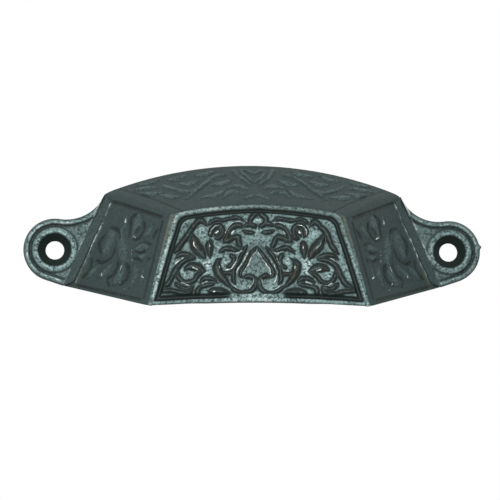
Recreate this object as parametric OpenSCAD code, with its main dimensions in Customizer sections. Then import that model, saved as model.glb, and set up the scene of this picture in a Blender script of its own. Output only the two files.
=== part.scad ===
// Drawer pull in cast iron, one piece: a hooded cup with scrollwork carving and two screw ears.
// Lengths are in millimetres. The back face lies on y = 0, the pull stands out towards -y,
// z points up, and the origin is midway between the screw holes.

/* [Fixing] */
// distance between the two screw holes
hole_spacing = 90.5; // [89:0.5:100]
// diameter of a screw hole
hole_d = 4.2; // [3.8:0.1:5]
// diameter of the countersink at the face of the ear
sink_d = 8; // [6.4:0.1:8.2]

/* [Ears] */
// radius of the rounded end of an ear
ear_r = 7.1; // [6.4:0.1:9]
// thickness of an ear at its rim
ear_t = 2.2; // [2.2:0.1:3]
// radius of the hollow curve between an ear and the shoulder of the hood
hollow_r = 9.5; // [8:0.1:12]
// width of the raised rim that follows the edge of an ear
rim_w = 1.1; // [0.6:0.1:1.6]
// how far the field inside the rim is sunk
field_sunk = 0.7; // [0.2:0.05:0.8]
// width of the raised ring round the countersink
ring_w = 0.8; // [0.4:0.1:1.2]

/* [Hood] */
// how far the lip stands out from the drawer
pull_depth = 22; // [18:0.5:30]
// width of the front panel at the lip
lip_w = 48.6; // [42:0.2:56]
// how far the corners of the lip lie below the holes
lip_drop = 14.5; // [12:0.1:18]
// rise of the lip's edge between its corners
lip_arch = 1; // [0.4:0.1:2.5]
// how far the front panel leans back, in degrees
front_lean = 10.9; // [4:0.1:18]
// height of the crown above the holes, at the back
crown_h = 20; // [17:0.5:26]
// radius of the arched roof
crown_r = 90; // [75:1:140]
// how steeply the roof falls towards the front, in degrees
roof_fall = 33.1; // [25:0.1:40]
// width between the shoulders, at the back
shoulder_w = 68.4; // [62:0.2:74]
// width between the lower back corners
base_w = 86.8; // [84:0.2:89]
// how far the lower back corners lie below the holes
base_drop = 8.1; // [6:0.1:10]
// thickness of the hood's walls
wall = 2.5; // [2:0.1:3.2]

/* [Carving] */
// height of the boldest carving on the front panel
front_rise = 0.6; // [0.3:0.05:0.8]
// height of the boldest carving on the side panels
side_rise = 0.45; // [0.2:0.05:0.7]
// height of the boldest carving on the roof
roof_rise = 0.4; // [0.2:0.05:0.7]
// width of the bead that frames the front panel
bead_w = 0.9; // [0.6:0.1:1.4]
// width of the groove inside that bead
groove_w = 1; // [0.6:0.1:1.4]
// how much further in the bead and the groove run at the panel's upper corners
corner_draw = 0.75; // [0:0.05:1]
// width of a stroke of carving, as a share of its drawn width
spread = 1.2; // [0.9:0.05:1.3]
// width of the bare band along the back edge of a side panel
band_w = 3.8; // [3:0.1:5]

/* [Hidden] */

// how far a cutting shape reaches past the face that it cuts
over = 1;
// edge of a block that is larger than the whole pull
block = 200;
// depth to which each stroke of carving is rooted in its panel
root_depth = 0.35;
// bare strip between the edges of the front panel and its bead
edge_gap = 0.17;
// height of the step that rounds the edge of an ear's rim
rim_step = 0.3;
// how far the curves of an ear's outline run into each other, and its ends into the hood's wall
blend = 0.01;
tuck = 0.3;

hole_x = hole_spacing / 2;
roof_slope = tan(roof_fall);
crown_z = crown_h - crown_r;

// Corners of the hood's left half: shoulder, lower back corner and lip corner.
shoulder = [-shoulder_w / 2, 0, crown_z + sqrt(crown_r * crown_r - shoulder_w * shoulder_w / 4)];
base = [-base_w / 2, 0, -base_drop];
lip = [-lip_w / 2, -pull_depth, -lip_drop];

function unit(v) = v / norm(v);

// Directions of the panels: outward ones, and those in which the carving is measured.
side_out = unit(cross(lip - base, shoulder - base));
side_along = unit(lip - base);
side_up = cross(side_out, side_along);
front_out = [0, -cos(front_lean), sin(front_lean)];
front_up = [0, sin(front_lean), cos(front_lean)];
under_out = unit([0, base.z - lip.z, lip.y - base.y]);

// A frame at point o whose third axis is z.
function frame(o, z) =
    let (x = unit(cross(z, [0, 0, 1])), y = cross(z, x))
    [[x.x, y.x, z.x, o.x], [x.y, y.y, z.y, o.y], [x.z, y.z, z.z, o.z], [0, 0, 0, 1]];

// Half width of the front panel at height v above the lip, along its slope.
hip = cross(front_out, side_out);
function front_half(v) = lip_w / 2 - v * abs(hip.x / (hip * front_up));
// Height of the panel's top edge at distance u from the middle.
function front_top(u) =
    (crown_z + sqrt(crown_r * crown_r - u * u) - roof_slope * pull_depth + lip_drop)
    / (cos(front_lean) - roof_slope * sin(front_lean));
// Height of the lip's edge at distance u from the middle.
function front_low(u) = lip_arch * (1 - pow(2 * u / lip_w, 2));
// Height at which the hip meets the top edge, found by going back and forth a few times.
function corner_height(v, tries) =
    tries == 0 ? v : corner_height(front_top(front_half(v)), tries - 1);
front_corner = corner_height(front_top(0), 6);

// The carving was drawn on panels of these sizes and follows them when they change.
drawn_front = [43.6, 21.2];
drawn_side = [29.8, 23.2];
drawn_roof = [34.2, 18];
front_fit = [2 * front_half(front_corner / 2) / drawn_front.x, front_corner / drawn_front.y];
side_fit = [norm(lip - base) / drawn_side.x, (shoulder - base) * side_up / drawn_side.y];
roof_fit = [
    shoulder_w / 2 / drawn_roof.x,
    (pull_depth - front_corner * sin(front_lean)) / drawn_roof.y,
];

// Where a point of the carving lies, h above the panel named by face.
function lay(face, p, h) =
    face == "front" ? [0, lip.y, lip.z] + [p.x, 0, 0] + p.y * front_up + h * front_out
  : face == "side" ? base + p.x * side_along + p.y * side_up + h * side_out
  : let (s = sqrt(crown_r * crown_r - p.x * p.x), out = unit([-p.x / s, -roof_slope, 1]))
    [-p.x, -p.y, crown_z + s - roof_slope * p.y] + h * out;

// A smooth line through the points p, for t from 0 to 1.
function knot(p, i) =
    i < 0 ? 2 * p[0] - p[1]
  : i >= len(p) ? 2 * p[len(p) - 1] - p[len(p) - 2]
  : p[i];
function along(p, t) =
    let (
        s = min(floor(t * (len(p) - 1)), len(p) - 2),
        f = t * (len(p) - 1) - s,
        a = knot(p, s - 1),
        b = knot(p, s),
        c = knot(p, s + 1),
        d = knot(p, s + 2)
    )
    (2 * b + (c - a) * f + (2 * a - 5 * b + 4 * c - d) * f * f
        + (3 * b - a - 3 * c + d) * f * f * f) / 2;
function across(p, t) =
    let (d = unit(along(p, min(t + 0.01, 1)) - along(p, max(t - 0.01, 0)))) [-d.y, d.x];

// Share of the full width and height at t: a leaf swells, a stem tapers at both ends, a bead stays even.
function swell(shape, t) =
    shape == "leaf" ? max(pow(sin(180 * t), 0.8), 0.08)
  : shape == "stem" ? min(1, 0.25 + 5 * min(t, 1 - t))
  : 1;
// Cross section from the left foot over the crest to the right foot: shares of the half width
// and of the height. A ribbon and a bead have a flat crest, a leaf and a stem a sharp one.
function section(shape) =
    shape == "leaf" || shape == "stem" ? [[1, 0], [0, 1], [-1, 0]]
  : [[1, 0], [0.5, 1], [-0.5, 1], [-1, 0]];

// One stroke of carving along the points p. A groove has a negative rise.
// Its flanks run on past the surface to the root, so that nothing ends level with the panel.
module stroke(face, shape, half_w, rise, p) {
    steps = shape == "leaf" ? 6 : max(2 * (len(p) - 1), 4);
    cut = section(shape);
    n = len(cut);
    root = rise > 0 ? -root_depth : root_depth;
    flank = cut[0].x - cut[1].x;
    points = [
        for (i = [0 : steps])
            let (
                t = i / steps,
                c = along(p, t),
                side = across(p, t) * (rise > 0 ? 1 : -1),
                w = half_w * swell(shape, t),
                top = rise * (0.4 + 0.6 * swell(shape, t))
            )
            for (q = cut)
                let (foot = q.y == 0, spread = foot ? q.x * (1 + flank * root_depth / abs(top)) : q.x)
                lay(face, c + side * w * spread, foot ? root : top)
    ];
    faces = [
        [for (k = [0 : n - 1]) k],
        for (i = [0 : steps - 1], k = [0 : n - 1])
            let (a = n * i + k, b = n * i + (k + 1) % n)
            each [[a, b + n, b], [a, a + n, b + n]],
        [for (k = [n - 1 : -1 : 0]) n * steps + k],
    ];
    polyhedron(points, faces);
}

function fitted(p, fit) = [for (q = p) [q.x * fit.x, q.y * fit.y]];

module strokes(face, rise, fit, rows) {
    for (r = rows) stroke(face, r[0], r[1] * spread, r[2] * rise, fitted(r[3], fit));
}

// The front panel's carving, right half: rows of shape, half width, share of the height, points.
// A heart stands in the middle with its scrolls turned in, leaves spring from a scroll in each corner.
front_rows = [
    ["ribbon", 0.48, 0.75, [[0, 14.3], [1.7, 12.3], [3.2, 10.2], [4.2, 8.4], [4.5, 7.1],
        [4.1, 5.7], [3, 4.9], [1.95, 5], [1.6, 5.7]]],
    ["stem", 0.28, 0.65, [[0, 12.7], [1.5, 10.8], [2.7, 8.9], [3.15, 7.6], [2.95, 6.8]]],
    ["stem", 0.28, 0.65, [[2.95, 6.8], [1.7, 7], [0.75, 6.2], [0.6, 5], [1.3, 4], [2.8, 3.6],
        [4.1, 3.9], [4.8, 4.7]]],
    ["stem", 0.42, 0.75, [[4.1, 12.3], [4.9, 11.2], [5.1, 9.8], [5.9, 8.6], [7.2, 8.2], [8.1, 7.8]]],
    ["leaf", 1, 1, [[8.2, 11.5], [8.6, 8.9], [7.7, 6.2]]],
    ["leaf", 0.65, 0.85, [[3.5, 12.6], [5.8, 13.1], [8.2, 12.4]]],
    ["stem", 0.5, 0.85, [[3.1, 18.7], [4.2, 19.5], [5.6, 19.3], [6.8, 18.2], [7.3, 16.6], [7.1, 14.9]]],
    ["stem", 0.45, 0.75, [[6.4, 15.9], [5.6, 17.2], [4.7, 17.4], [4, 16.3], [3.8, 14.9], [3.4, 13.4]]],
    ["leaf", 0.5, 0.85, [[0.5, 16.8], [1.7, 17.5], [3.1, 17.8]]],
    ["stem", 0.3, 0.6, [[0.8, 16.1], [2.4, 16.3], [3.9, 16.1]]],
    ["stem", 0.5, 0.9, [[10.7, 15.8], [10.7, 17.2], [10, 18.3], [8.9, 18.4], [8.5, 17.4], [9.2, 16.7]]],
    ["leaf", 0.95, 1, [[10.3, 15.8], [10.4, 13.3], [10.1, 10.5]]],
    ["leaf", 1.05, 1, [[15, 16.4], [14, 13.7], [11.4, 10.5]]],
    ["leaf", 0.85, 0.9, [[12.3, 16.6], [12.6, 18.2], [13.1, 19.6]]],
    ["stem", 0.5, 0.85, [[18, 11.8], [17, 13.4], [16.2, 15.4], [15.2, 17.1], [13.8, 17.4]]],
    ["leaf", 0.6, 0.85, [[18.4, 11], [16.9, 12.1], [14.4, 11.7]]],
    ["stem", 0.35, 0.75, [[20.9, 4.8], [19.9, 7.2], [18.5, 9.4], [16.9, 11]]],
    ["ribbon", 0.5, 0.85, [[11.6, 9.5], [13.5, 10.3], [15.6, 10], [17.3, 8.6], [18.2, 6.7], [18.8, 4.6]]],
    ["leaf", 0.95, 1, [[16.6, 8.1], [14.3, 8.9], [11.5, 7.9]]],
    ["stem", 0.45, 0.85, [[16.9, 7.4], [17.1, 6], [16.2, 4.9], [14.8, 4.8], [13.9, 5.6]]],
    ["leaf", 0.7, 0.9, [[21.4, 3.4], [18, 3.2], [14.3, 3]]],
    ["leaf", 0.65, 0.85, [[12.8, 4.7], [11.4, 5.9], [9.2, 5.4]]],
    ["leaf", 0.75, 0.9, [[11.6, 2.8], [9.2, 3.6], [6, 2.8]]],
    ["leaf", 0.55, 0.75, [[6.7, 6.1], [5.9, 4.7], [5.2, 3.3]]],
];
// The bud above the heart, on the middle line.
front_bud = [["leaf", 1, 1, [[0, 17.2], [0, 19.2], [0, 21]]]];

// A side panel's carving, measured from the lower back corner: a scroll, and leaves along its spine.
side_rows = [
    ["stem", 0.55, 0.8, [[13.8, 12.6], [12.6, 14.8], [10.2, 15.5], [7.8, 14.2], [6.9, 11.6],
        [7.9, 9], [10.2, 7.7], [12.4, 8.4], [13.2, 10.2], [12.2, 11.7]]],
    ["leaf", 1, 0.9, [[8.8, 10], [10.4, 11], [11.2, 13]]],
    ["leaf", 1.1, 0.9, [[12, 18.8], [13.7, 16.6], [15.6, 14]]],
    ["leaf", 1.3, 1, [[17.4, 19], [18.4, 16.6], [17.6, 13.8]]],
    ["leaf", 0.8, 0.8, [[23.6, 18], [23, 16.4], [21.6, 15]]],
    ["stem", 0.5, 0.8, [[16.4, 13.6], [18, 11.4], [19.2, 9.2], [20.8, 7.4]]],
    ["stem", 0.5, 0.8, [[19.6, 12.6], [21.6, 13.2], [23.6, 12.2], [23.9, 10.5], [22.4, 9.7], [21.2, 10.6]]],
    ["leaf", 1.2, 1, [[17, 8.8], [18.6, 5.8], [18.4, 2.8]]],
    ["leaf", 1, 0.9, [[15.4, 8.6], [14.6, 5.8], [12.4, 3.6]]],
    ["leaf", 0.9, 0.8, [[8.4, 6.6], [7.2, 4.8], [5.8, 3.2]]],
    ["leaf", 0.8, 0.8, [[9.4, 19.4], [8.8, 18.2], [7.4, 16.8]]],
    ["leaf", 0.7, 0.8, [[22.2, 7.8], [24, 6.2], [25, 3.8]]],
    ["leaf", 0.6, 0.7, [[20.4, 4.2], [22, 3], [24.2, 2.4]]],
];

// The roof's carving, left half, measured from the middle line and the back edge: a palmette under an arch, and scrolls.
roof_rows = [
    ["leaf", 1.1, 0.9, [[1.2, 14.4], [3.6, 10.8], [4, 6.6]]],
    ["leaf", 0.9, 1, [[9.2, 14], [11.6, 12.8], [13.4, 11.4]]],
    ["stem", 0.55, 0.9, [[10, 9], [10.8, 5.6], [14, 3.8], [17.2, 5], [18, 8], [15.8, 9.8], [13.6, 8.4]]],
    ["leaf", 1, 1, [[14.8, 14.2], [18, 12.4], [20.4, 9.4]]],
    ["leaf", 0.9, 1, [[19.4, 6.6], [22.6, 5], [26.4, 4.6]]],
    ["leaf", 0.8, 0.9, [[21, 9.4], [23.4, 7.8], [25.8, 7]]],
    ["leaf", 0.7, 0.8, [[19.4, 3.6], [22, 2.6], [25.2, 2.6]]],
];
// The palmette's middle leaf and the arch over it, on the middle line.
roof_middle = [
    ["leaf", 1.4, 1, [[0, 14.8], [0, 10.4], [0, 6]]],
    ["stem", 0.55, 0.9, [[-5, 14.4], [-8, 12.2], [-7.6, 7], [-4.6, 4], [0, 3],
        [4.6, 4], [7.6, 7], [8, 12.2], [5, 14.4]]],
];

// The block on the inner side of the plane through point o that faces out, inset from it.
module inner_side(o, out, inset) {
    multmatrix(frame(o, out))
        translate([-block / 2, -block / 2, -block - inset]) cube(block);
}

// The closed form of the hood, each face set in by the same distance, without its underside.
module hood_form(inset) {
    intersection() {
        multmatrix([[1, 0, 0, 0], [0, 1, 0, 0], [0, roof_slope, 1, 0]])
            translate([0, over, crown_z]) rotate([90, 0, 0])
                cylinder(r = crown_r - inset / cos(roof_fall), h = pull_depth + 2 * over, $fn = 200);
        inner_side([0, lip.y, lip.z], front_out, inset);
        inner_side(base, side_out, inset);
        mirror([1, 0, 0]) inner_side(base, side_out, inset);
    }
}

// The hollow hood, open towards the drawer and below, with its lip arched.
module hood() {
    arch_r = (lip_w * lip_w / 4 + lip_arch * lip_arch) / (2 * lip_arch);
    difference() {
        intersection() {
            hood_form(0);
            inner_side([0, 0, 0], [0, 1, 0], 0);
            inner_side(base, under_out, 0);
        }
        hood_form(wall);
        translate([0, 0, lip.z + lip_arch - arch_r]) rotate([90, 0, 0])
            cylinder(r = arch_r, h = block, $fn = 360);
    }
}

// Lines that run at a distance in from the front panel's right hip, its top edge and its lower edge.
// The first two draw further in towards the upper corners.
function inner_corner(inset) =
    let (v = front_corner - inset - corner_draw) [front_half(v) - 1.05 * (inset + corner_draw), v];
function hip_line(inset) = [[front_half(inset) - 1.05 * inset, inset], inner_corner(inset)];
function top_line(inset) = [
    for (i = [-4 : 4])
        let (u = i / 4 * inner_corner(inset).x)
        [u, front_top(u) - inset - corner_draw * abs(i) / 4]
];
function low_line(inset) = [
    for (i = [-3 : 3])
        let (u = i / 3 * (front_half(inset) - 1.05 * inset))
        [u, front_low(u) + inset]
];

module front_carving() {
    bead_h = front_rise / 2;
    inset = edge_gap + bead_w / 2;
    for (side = [0, 1]) mirror([side, 0, 0]) {
        strokes("front", front_rise, front_fit, front_rows);
        stroke("front", "bead", bead_w / 2, bead_h, hip_line(inset));
    }
    strokes("front", front_rise, front_fit, front_bud);
    stroke("front", "bead", bead_w / 2, bead_h, top_line(inset));
    stroke("front", "bead", bead_w / 2, bead_h, low_line(inset));
}

module front_grooves() {
    inset = edge_gap + bead_w + groove_w / 2;
    for (side = [0, 1]) mirror([side, 0, 0])
        stroke("front", "bead", groove_w / 2, -0.8 * front_rise, hip_line(inset));
    stroke("front", "bead", groove_w / 2, -0.8 * front_rise, top_line(inset));
    stroke("front", "stem", groove_w / 2, -0.8 * front_rise, low_line(inset));
}

// A fine line cut under a side panel's top edge.
side_line = [[4.8, 21.9], [14, 20.7], [23.2, 19.3]];

// A side panel's carving, with a fine ridge along the bare band at its back.
module side_carving() {
    slant = (shoulder - base) * side_along / ((shoulder - base) * side_up);
    far = 0.92 * (shoulder - base) * side_up;
    near = 0.08 * (shoulder - base) * side_up;
    strokes("side", side_rise, side_fit, side_rows);
    stroke("side", "bead", 0.4, 0.8 * side_rise, [[band_w + near * slant, near], [band_w + far * slant, far]]);
}

module roof_carving() {
    for (side = [0, 1]) mirror([side, 0, 0]) strokes("roof", roof_rise, roof_fit, roof_rows);
    strokes("roof", roof_rise, roof_fit, roof_middle);
}

module carved_hood() {
    difference() {
        union() {
            hood();
            front_carving();
            roof_carving();
            for (side = [0, 1]) mirror([side, 0, 0]) side_carving();
        }
        front_grooves();
        for (side = [0, 1]) mirror([side, 0, 0])
            stroke("side", "stem", 0.35, -0.7 * side_rise, fitted(side_line, side_fit));
    }
}

// Plan of the right ear round its hole, set in from its edge by a distance.
// The hollow curve touches the round end and ends just under the shoulder, the lower edge runs to the base.
module ear_plan(inset) {
    top = [-shoulder.x - hole_x - tuck / 2, shoulder.z - 2 * tuck];
    low = [-base.x - hole_x, base.z];
    reach = ear_r + hollow_r - blend;
    a = (reach * reach + top * top - hollow_r * hollow_r) / (2 * norm(top));
    b = sqrt(reach * reach - a * a);
    up = unit(top);
    hollow = a * up + b * [up.y, -up.x];
    turn = atan2(low.y, low.x) + acos(ear_r / norm(low));
    edge = [cos(turn), sin(turn)];
    inward = [-wall, 0];
    difference() {
        union() {
            circle(r = ear_r - inset, $fn = 96);
            polygon([
                (ear_r - inset - blend) * edge,
                low - inset * edge,
                low + inward + [0, wall / 3],
                top + inward - [0, wall],
                hollow + (top - hollow) * (hollow_r + inset) / hollow_r,
                (ear_r - inset - blend) * unit(hollow),
            ]);
        }
        translate(hollow) circle(r = hollow_r + inset, $fn = 96);
    }
}

// The right ear: a plate with a raised rim, a sunk field and a ring round the countersink.
module ear() {
    difference() {
        translate([hole_x, 0, 0]) rotate([90, 0, 0]) {
            linear_extrude(ear_t - field_sunk) ear_plan(0);
            difference() {
                union() {
                    linear_extrude(ear_t - rim_step) ear_plan(0);
                    linear_extrude(ear_t) ear_plan(rim_step);
                }
                translate([0, 0, -over]) linear_extrude(ear_t + 2 * over) ear_plan(rim_w);
            }
            cylinder(r = sink_d / 2 + ring_w, h = ear_t, $fn = 96);
        }
        mirror([1, 0, 0]) inner_side(base, side_out, wall - 0.3);
    }
}

// A screw hole with its countersink, on the right.
module screw_hole() {
    sink_deep = (sink_d - hole_d) / 2;
    translate([hole_x, over, 0]) rotate([90, 0, 0])
        cylinder(d = hole_d, h = ear_t + 2 * over, $fn = 64);
    translate([hole_x, sink_deep - ear_t, 0]) rotate([90, 0, 0])
        cylinder(d1 = hole_d, d2 = sink_d + 2 * over, h = sink_deep + over, $fn = 64);
}

module pull_casting() {
    color([0.3, 0.34, 0.34]) difference() {
        union() {
            // the hood and its carving form one skin
            resize([0, 0, 0]) carved_hood();
            for (side = [0, 1]) mirror([side, 0, 0]) ear();
        }
        for (side = [0, 1]) mirror([side, 0, 0]) screw_hole();
    }
}

pull_casting();
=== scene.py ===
# %% [markdown]
# # A carved cast-iron drawer pull
# The real pull is one piece of grey iron: a hooded cup with an arched roof and slanting panels,
# full of scrollwork, and a screw ear at each end. It was cast in a sand mould, so everything in it
# is one skin of metal with rounded edges and a grainy surface. This lesson dresses the plain
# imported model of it.

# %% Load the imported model
import bpy
import numpy as np
from mathutils import Matrix, Vector


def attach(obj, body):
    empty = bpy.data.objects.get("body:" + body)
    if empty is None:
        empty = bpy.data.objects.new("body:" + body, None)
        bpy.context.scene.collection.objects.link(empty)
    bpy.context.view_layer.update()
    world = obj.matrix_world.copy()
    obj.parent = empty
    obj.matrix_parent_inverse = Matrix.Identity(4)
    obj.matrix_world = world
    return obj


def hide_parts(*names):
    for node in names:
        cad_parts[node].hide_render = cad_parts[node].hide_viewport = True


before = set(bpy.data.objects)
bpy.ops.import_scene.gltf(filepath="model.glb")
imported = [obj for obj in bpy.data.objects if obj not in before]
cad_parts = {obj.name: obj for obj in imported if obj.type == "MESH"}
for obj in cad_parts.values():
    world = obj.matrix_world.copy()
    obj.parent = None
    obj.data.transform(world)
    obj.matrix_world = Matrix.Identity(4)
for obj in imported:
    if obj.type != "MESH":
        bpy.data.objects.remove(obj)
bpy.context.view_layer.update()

print("nodes:", sorted(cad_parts))

# %% [markdown]
# ## The sizes of the hood
# The shapes are worked out in millimetres and turned into metres at the very end, because a
# founder's pattern is measured in millimetres too. The hood needs only a few numbers: where its
# lip, its lower back corner and its shoulder lie, how far the front leans back, and the radius and
# the fall of its roof. Everything else follows from the planes that these numbers fix.

# %% Corners and planes of the hood
MM = 0.001
HOLE_X = 45.25
LIP_HALF, LIP_DEPTH, LIP_DROP, LIP_ARCH = 24.3, 22.0, 14.5, 1.0
CROWN_TOP, CROWN_R = 20.0, 90.0
SHOULDER_HALF, BASE_HALF, BASE_DROP = 34.2, 43.4, 8.1
ROOF_FALL, FRONT_LEAN = np.radians(33.1), np.radians(10.9)
WALL = 2.5


def unit(v):
    """The vector v brought to length 1."""
    return v / np.linalg.norm(v, axis=-1, keepdims=True)


def mix(a, b, t):
    """The value a share t of the way from a to b."""
    return a + (b - a) * t


def ease(t):
    """0 below 0 and 1 above 1, with a smooth rise between: 3 t squared less 2 t cubed."""
    t = np.clip(t, 0, 1)
    return t * t * (3 - 2 * t)


def roof_height(x, y, inset=0.0):
    """The roof: a cylinder of radius CROWN_R about a level line, sheared down towards the front."""
    radius = CROWN_R - inset / np.cos(ROOF_FALL)
    return CROWN_TOP - CROWN_R + np.sqrt(radius ** 2 - x ** 2) + np.tan(ROOF_FALL) * y


def lip_height(x):
    """Height of the lip's edge, highest in the middle: a flat parabola."""
    return LIP_ARCH * (1 - (x / LIP_HALF) ** 2) - LIP_DROP


def skirt_height(y):
    """Height of the plane through the lower back edge and the lip's corners."""
    return mix(-BASE_DROP, -LIP_DROP, -y / LIP_DEPTH)


SHOULDER = np.array([SHOULDER_HALF, 0.0, roof_height(SHOULDER_HALF, 0.0)])
BASE = np.array([BASE_HALF, 0.0, -BASE_DROP])
LIP = np.array([LIP_HALF, -LIP_DEPTH, -LIP_DROP])
SIDE_OUT = unit(np.cross(SHOULDER - BASE, LIP - BASE))
SIDE_ALONG = unit(LIP - BASE)
SIDE_UP = np.cross(SIDE_ALONG, SIDE_OUT)
FRONT_OUT = np.array([0.0, -np.cos(FRONT_LEAN), np.sin(FRONT_LEAN)])
FRONT_UP = np.array([0.0, np.sin(FRONT_LEAN), np.cos(FRONT_LEAN)])
print("shoulder at", SHOULDER.round(2), "side panel faces", SIDE_OUT.round(3), "up", SIDE_UP.round(3))

# %% [markdown]
# ## Three panels and a roof as grids
# Each face of the hood is a function of two parameters, worked out on a whole grid at once.
# Neighbouring faces share their edge points, as the faces of a box do, so the skin has no gap. The
# inside of the hood is the same form with every plane set in by the wall, so one class makes both.
# A box model cut by modifiers would be quicker to start, but it would give uneven faces just where
# the fine carving needs even ones.

# %% Faces of the hood
ROUNDS = 24


class Hood:
    """The sharp form of the hood with each plane set in by one distance. a runs across from -1 to 1,
    b up a panel from 0 to 1, and c from the front to the back from 0 to 1."""

    def __init__(self, inset):
        self.inset = inset
        self.front_at = LIP - inset * FRONT_OUT
        self.side_at = BASE - inset * SIDE_OUT

    def front_y(self, z):
        """y of the front plane at height z."""
        return self.front_at[1] - FRONT_OUT[2] / FRONT_OUT[1] * (z - self.front_at[2])

    def side_x(self, y, z):
        """x of the right side plane at y and z."""
        away = SIDE_OUT[1] * (y - self.side_at[1]) + SIDE_OUT[2] * (z - self.side_at[2])
        return self.side_at[0] - away / SIDE_OUT[0]

    def front(self, a, b):
        """Point of the front panel. Its width depends on the height and its top and bottom edges on
        the distance from the middle, so they are worked out in turn until they agree."""
        x, z = a * LIP_HALF, 0 * a * b
        low, high = z - LIP_DROP, z
        for _ in range(ROUNDS):
            low = np.maximum(skirt_height(self.front_y(low)), lip_height(x))
            high = roof_height(x, self.front_y(high), self.inset)
            z = mix(low, high, b)
            x = a * self.side_x(self.front_y(z), z)
        return np.stack([x, self.front_y(z), z], -1)

    def side_top(self, c):
        """Top edge of the right side panel, where its plane meets the roof."""
        y = (1 - c) * self.front(np.array(1.0), np.array(1.0))[1]
        z = 0 * y
        for _ in range(ROUNDS):
            z = roof_height(self.side_x(y, z), y, self.inset)
        return np.stack([self.side_x(y, z), y, z], -1)

    def side_low(self, c):
        """Bottom edge of the right side panel."""
        y = (1 - c) * self.front(np.array(1.0), np.array(0.0))[1]
        z = skirt_height(y)
        return np.stack([self.side_x(y, z), y, z], -1)

    def side(self, b, c):
        """Point of the right side panel: straight lines from the hip to the back edge, moved evenly so
        that the first follows the bottom edge and the last the roof."""
        b_, c_ = b[..., None], c[..., None]
        hip = self.front(0 * b + 1.0, b)
        low, high = self.side_low(c), self.side_top(c)
        foot, head = self.side_low(np.array(1.0)), self.side_top(np.array(1.0))
        spread = mix(hip, mix(foot, head, b_), c_)
        low_gap = low - mix(self.front(0 * b + 1.0, 0 * b), foot, c_)
        high_gap = high - mix(self.front(0 * b + 1.0, 0 * b + 1.0), head, c_)
        return spread + (1 - b_) * low_gap + b_ * high_gap

    def roof(self, a, c):
        """Point of the roof: its plan is as wide as the side panels' top edges, and its height is the
        sheared cylinder's."""
        front = self.front(a, 0 * a + 1.0)
        corner = self.side_top(np.array(0.0))
        x = a * self.side_top(c)[..., 0] + (1 - c) * (front[..., 0] - a * corner[0])
        y = (1 - c) * front[..., 1]
        return np.stack([x, y, roof_height(x, y, self.inset)], -1)

    def grids(self):
        """The front, the right side and the roof on their grids."""
        front = self.front(*np.meshgrid(A_STEPS, B_STEPS))
        side = self.side(*np.meshgrid(B_STEPS, C_STEPS, indexing="ij"))
        return front, side, self.roof(*np.meshgrid(A_STEPS, C_STEPS))


A_STEPS, B_STEPS, C_STEPS = np.linspace(-1, 1, 257), np.linspace(0, 1, 105), np.linspace(0, 1, 89)
outer = Hood(0.0)
front_grid, side_grid, roof_grid = outer.grids()
print("grids:", front_grid.shape[:2], side_grid.shape[:2], roof_grid.shape[:2])
print("largest gap between faces in mm:", max(
    abs(front_grid[:, -1] - side_grid[:, 0]).max(),
    abs(front_grid[-1] - roof_grid[0]).max(),
    abs(side_grid[-1] - roof_grid[:, -1]).max(),
))

# %% [markdown]
# ## The carving as strokes
# A pattern carver works with a few gouges, and so does this cell. Each stroke has a spine, a width
# and a height, and is a leaf, which swells in the middle, or a stem, which tapers at both ends. The
# lists give the strokes of half a panel: a heart in the middle of the front with its scrolls turned
# in, and leaves that spring from a scroll in each corner. Sculpting by hand would do too, but
# strokes stay even, mirror exactly and can be read.
# A row holds the kind, half the width, the height and the points of the spine, all in millimetres.
# A point counts outwards from the panel's middle line and upwards from the lip's corners.

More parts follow.
